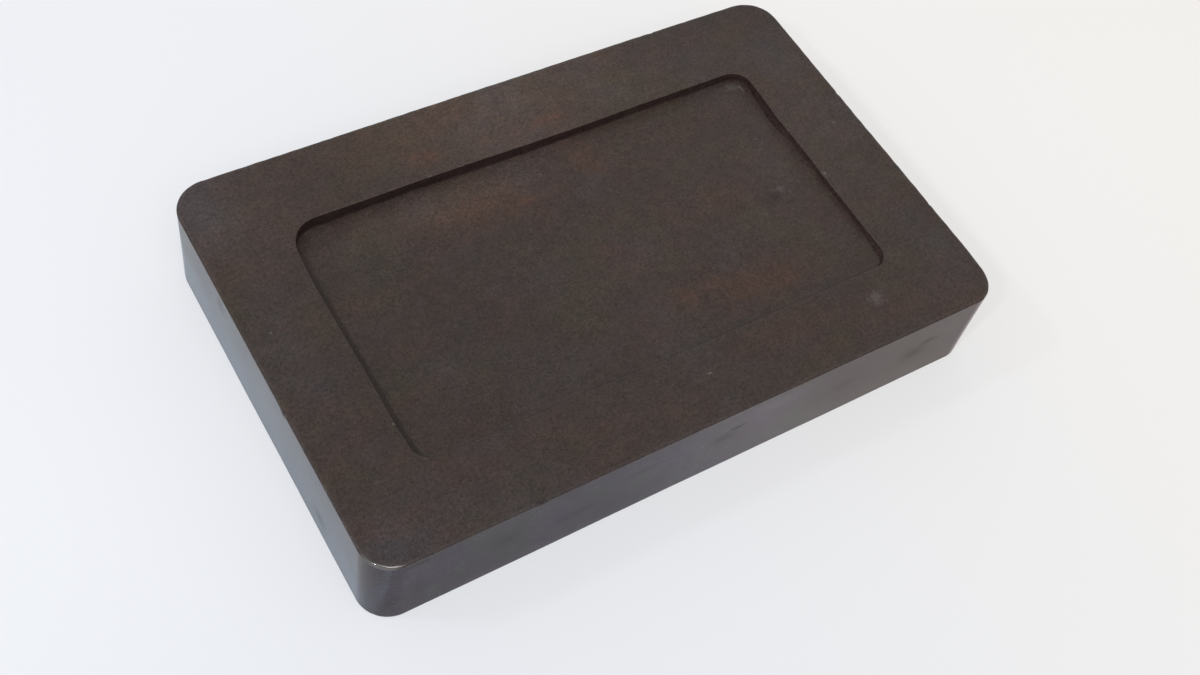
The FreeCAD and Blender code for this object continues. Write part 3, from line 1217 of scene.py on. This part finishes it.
    def honed_frame(self):
        """The honed frame round the well."""
        return self.finish(
            "honed_frame",
            0.46,
            bump=0.4,
            # the wear also paints light on the near side of the rim round the well
            wear=0.2,
            pale=PALE_MARKS,
            # painted shadow in two chips of the top edge
            dark=CHIP_SHADOWS,
            red_at=RED_PATCHES,
            grey_at=GREY_PATCHES,
            painted_light_at=PAINTED_LIGHT_ZONES,
        )

    def chiselled_wall(self):
        """The chiselled wall of the well, stained with ink."""
        return self.finish(
            "chiselled_wall",
            0.8,
            stone=self.colours.stained,
            amounts=(0.2, 0.1, 0.1),
            pores=0.9,
            hairlines=0.2,
            bump=0.7,
            depth=0.1,
            wear=0.0,
            ink=0.7,
            ior=1.2,
        )

    def well_floor(self):
        """The rubbed floor of the well, with ink and painted shade along the foot of its wall."""
        return self.finish(
            "well_floor",
            0.5,
            bump=0.4,
            pale=PALE_MARKS,
            dark=DARK_MARKS,
            red_at=RED_PATCHES,
            grey_at=GREY_PATCHES,
            painted_light_at=PAINTED_LIGHT_ZONES,
            ink=0.85,
        )

    def all(self):
        """The finishes in the order of the mesh's slots."""
        return (
            self.sawn_underside(),
            self.lapped_side(),
            self.rubbed_edge(),
            self.honed_frame(),
            self.chiselled_wall(),
            self.well_floor(),
        )


class INKSTONE_OT_stone(bpy.types.Operator):
    """Builds the stone, its edges, chips and finishes"""

    bl_idname = "inkstone.stone"
    bl_label = "Stone"

    def execute(self, context):
        rings = StoneRings(context.scene.inkstone_shape)
        points = nibble_edges(np.array(rings.points), np.array(rings.masks["arris"]))
        points = np.clip(knock_chips(points), np.array(CAD_LOW), np.array(CAD_HIGH))
        rings.points = points.tolist()
        stone = add_object("hand_cut_stone", rings.mesh("hand_cut_stone"))
        for material in Finishes(context.scene.inkstone_colours).all():
            stone.data.materials.append(material)
        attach(stone, "root")
        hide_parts(NODE)
        return {"FINISHED"}


# The window's panes and the room's lamp: azimuth and elevation in degrees, distance, width
# and height in metres, and for the panes their share of the window's power
WINDOW_PANES = (
    ((-112, 46, 1.1, 0.11, 0.06), 0.30),
    ((-66, 48, 1.1, 0.06, 0.06), 0.50),
    ((-28, 48, 1.1, 0.45, 0.12), 0.20),
)
ROOM_LAMP = (-20, 62, 2.0, 1.2, 1.2)
WINDOW_LIGHT = (0.86, 0.93, 1.0)
ROOM_LIGHT = (1.0, 0.97, 0.94)

# The sky: its colour and its strength at the sides and above, and the plain backdrop that
# the camera sees in its place
SKY_LIGHT = (1.0, 0.985, 0.97)
SKY_LEVELS = (1.9, 0.55)
BACKDROP = (0.93, 0.94, 0.96)

# The floor: half its width, where it turns from cool to warm along X and from its shaded
# near part to its far one along Y, and the shade of the near part at the left and right
FLOOR_HALF = 12.0
WARM_SPAN = (-0.22, 0.30)
NEAR_SPAN = (-0.16, 0.02)
NEAR_SHADES = ((0.905, 0.915, 0.928), (0.985, 0.985, 0.98))

# How much of the floor, as the camera sees it and as the stone mirrors it, is its own colour
# and not the light on it
SEEN_WHITE = 0.5
MIRRORED_WHITE = 0.6

# The cast of the floor that the stone mirrors, at places along X in millimetres: cool in
# front of the left face, dimmer before the left half of the front and warm at its right
MIRRORED_CASTS = (
    (-114, (0.80, 0.77, 0.77)),
    (-111, (0.91, 1.00, 1.08)),
    (-107, (1.05, 1.22, 1.39)),
    (-104, (0.68, 0.67, 0.74)),
    (-100, (0.60, 0.57, 0.63)),
    (-30, (0.67, 0.65, 0.72)),
    (0, (0.93, 0.89, 0.98)),
    (30, (1.27, 1.17, 1.20)),
    (60, (1.05, 0.90, 0.84)),
)


def look_from(azimuth, elevation):
    """The direction from the stone towards a lamp or camera, angles in degrees."""
    turn, rise = math.radians(azimuth), math.radians(elevation)
    flat = math.cos(rise)
    return Vector((math.sin(turn) * flat, -math.cos(turn) * flat, math.sin(rise)))


def aim(made, target, azimuth, elevation, distance, roll=0.0):
    """Puts a lamp or camera at a distance from its target and turns it towards it."""
    way = look_from(azimuth, elevation)
    made.location = target + way * distance
    made.rotation_mode = "QUATERNION"
    level = way.to_track_quat("Z", "Y")
    made.rotation_quaternion = level @ Quaternion((0, 0, 1), math.radians(-roll))


def soft_lamp(name, azimuth, elevation, distance, width, height, power, colour):
    """A soft lamp that faces the stone."""
    light = bpy.data.lights.new(name, "AREA")
    light.shape = "RECTANGLE"
    light.size = width
    light.size_y = height
    light.energy = power
    light.color = colour
    aim(add_object(name, light), Vector(), azimuth, elevation, distance)


def mirrored_tint(tree, along):
    """The cast of the mirrored floor at each place along X."""
    first, last = MIRRORED_CASTS[0][0], MIRRORED_CASTS[-1][0]
    place = map_range(tree, along, first * MM, last * MM)
    ramp = add_node(tree, "ShaderNodeValToRGB", Fac=place)
    stops = ramp.color_ramp.elements
    for x, colour in MIRRORED_CASTS:
        share = (x - first) / (last - first)
        ends = {0.0: stops[0], 1.0: stops[-1]}
        stop = ends.get(share) or stops.new(share)
        stop.color = opaque(colour)
    return ramp.outputs["Color"]


def mix_shaders(tree, factor, one, two, output):
    """Feeds an output node with shader one turned into shader two by the factor."""
    mix = tree.nodes.new("ShaderNodeMixShader")
    for socket, value in zip(mix.inputs, (factor, one.outputs[0], two.outputs[0])):
        feed(tree, socket, value)
    add_node(tree, output, Surface=mix.outputs[0])


def floor_colour(tree, place, cool, warm):
    """The floor's colour, with painted light and shade: cool at the left under the cool window light,
    warm at the right and shaded in front.
    """
    share = spread(tree, place["X"], *WARM_SPAN)
    far = mix_colours(tree, share, opaque(cool), opaque(warm))
    shade = mix_colours(tree, share, *map(opaque, NEAR_SHADES))
    near = mix_colours(tree, 1.0, far, shade, "MULTIPLY")
    return mix_colours(tree, spread(tree, place["Y"], *NEAR_SPAN), near, far)


def floor_material(cool, warm):
    """The floor's material, partly lit and partly its own plain colour."""
    material = bpy.data.materials.new("pale_floor")
    tree = empty_tree(material)
    where = tree.nodes.new("ShaderNodeTexCoord").outputs["Object"]
    place = add_node(tree, "ShaderNodeSeparateXYZ", Vector=where).outputs
    rays = tree.nodes.new("ShaderNodeLightPath").outputs
    colour = floor_colour(tree, place, cool, warm)
    cast = mirrored_tint(tree, place["X"])
    tint = mix_colours(tree, rays["Is Glossy Ray"], opaque((1.0, 1.0, 1.0)), cast)
    plain = mix_colours(tree, 1.0, colour, tint, "MULTIPLY")
    mirrored = math_node(tree, "MAXIMUM", rays["Is Glossy Ray"], rays["Is Transmission Ray"])
    mirrored = product(tree, mirrored, MIRRORED_WHITE)
    seen = product(tree, rays["Is Camera Ray"], SEEN_WHITE)
    mix_shaders(
        tree,
        math_node(tree, "MAXIMUM", seen, mirrored),
        add_node(tree, "ShaderNodeBsdfDiffuse", Color=colour),
        add_node(tree, "ShaderNodeEmission", Color=plain),
        "ShaderNodeOutputMaterial",
    )
    return material


def pale_floor(cool, warm):
    """A wide pale floor under the stone, that keeps a soft shadow."""
    corners = [(x * FLOOR_HALF, y * FLOOR_HALF, 0.0) for x, y in ((-1, -1), (1, -1), (1, 1), (-1, 1))]
    mesh = bpy.data.meshes.new("pale_floor")
    mesh.from_pydata(corners, [], [(0, 1, 2, 3)])
    mesh.materials.append(floor_material(cool, warm))
    floor = add_object("pale_floor", mesh)


def even_sky(strength):
    """Even light from all round, stronger from the sides than from above."""
    world = bpy.data.worlds.new("even_sky")
    bpy.context.scene.world = world
    tree = empty_tree(world)
    where = tree.nodes.new("ShaderNodeTexCoord").outputs["Generated"]
    height = add_node(tree, "ShaderNodeSeparateXYZ", Vector=where).outputs["Z"]
    level = map_range(tree, height, 0.0, 1.0, *SKY_LEVELS)
    power = product(tree, level, strength)
    mix_shaders(
        tree,
        tree.nodes.new("ShaderNodeLightPath").outputs["Is Camera Ray"],
        add_node(tree, "ShaderNodeBackground", Color=opaque(SKY_LIGHT), Strength=power),
        add_node(tree, "ShaderNodeBackground", Color=opaque(BACKDROP), Strength=1.0),
        "ShaderNodeOutputWorld",
    )


# The photograph's camera, fitted to the stone's outline
CAMERA_AZIMUTH = -43.16
CAMERA_ELEVATION = 55.31
CAMERA_DISTANCE = 431.1 * MM
CAMERA_TARGET = Vector((-16.05 * MM, -29.56 * MM, CAD_HIGH.z))
CAMERA_ROLL = -14.91
CAMERA_LENS = 45.33
SENSOR_WIDTH = 36.0


def photo_camera():
    """The camera at the photograph's place, turned about its own axis as the photograph is."""
    data = bpy.data.cameras.new("photo_camera")
    data.sensor_width = SENSOR_WIDTH
    data.lens = CAMERA_LENS
    data.clip_start = 10 * MM
    camera = add_object("photo_camera", data)
    aim(
        camera, CAMERA_TARGET, CAMERA_AZIMUTH, CAMERA_ELEVATION, CAMERA_DISTANCE, CAMERA_ROLL
    )
    bpy.context.scene.camera = camera


class INKSTONE_OT_stage(bpy.types.Operator):
    """Builds the floor, the soft lamps and the camera"""

    bl_idname = "inkstone.stage"
    bl_label = "Stage"

    def execute(self, context):
        stage = context.scene.inkstone_stage
        context.scene.view_settings.view_transform = "Standard"
        pale_floor(stage.cool_floor, stage.warm_floor)
        even_sky(stage.sky)
        for number, (place, share) in enumerate(WINDOW_PANES, 1):
            power = share * stage.window_power
            soft_lamp(f"window_lamp_{number}", *place, power, WINDOW_LIGHT)
        soft_lamp("room_lamp", *ROOM_LAMP, stage.room_power, ROOM_LIGHT)
        photo_camera()
        return {"FINISHED"}


class INKSTONE_PT_panel(bpy.types.Panel):
    """Lists the builders and their sizes and colours"""

    bl_idname = "INKSTONE_PT_panel"
    bl_label = "Inkstone"
    bl_space_type = "VIEW_3D"
    bl_region_type = "UI"
    bl_category = "Inkstone"

    def draw(self, context):
        for group in ("inkstone_shape", "inkstone_colours", "inkstone_stage"):
            box = self.layout.box()
            settings = getattr(context.scene, group)
            for name in settings.__annotations__:
                box.prop(settings, name)
        self.layout.operator("inkstone.stone")
        self.layout.operator("inkstone.stage")


CLASSES = (
    StoneShape,
    StoneColours,
    StageSettings,
    INKSTONE_OT_stone,
    INKSTONE_OT_stage,
    INKSTONE_PT_panel,
)


def register():
    """Registers the classes and hangs their settings on the scene."""
    for made in CLASSES:
        bpy.utils.register_class(made)
    bpy.types.Scene.inkstone_shape = PointerProperty(type=StoneShape)
    bpy.types.Scene.inkstone_colours = PointerProperty(type=StoneColours)
    bpy.types.Scene.inkstone_stage = PointerProperty(type=StageSettings)


def unregister():
    """Takes the settings and the classes away again."""
    del bpy.types.Scene.inkstone_stage
    del bpy.types.Scene.inkstone_colours
    del bpy.types.Scene.inkstone_shape
    for made in reversed(CLASSES):
        bpy.utils.unregister_class(made)


def main():
    """Builds everything."""
    register()
    bpy.ops.inkstone.stone()
    bpy.ops.inkstone.stage()


if __name__ == "__main__":
    main()
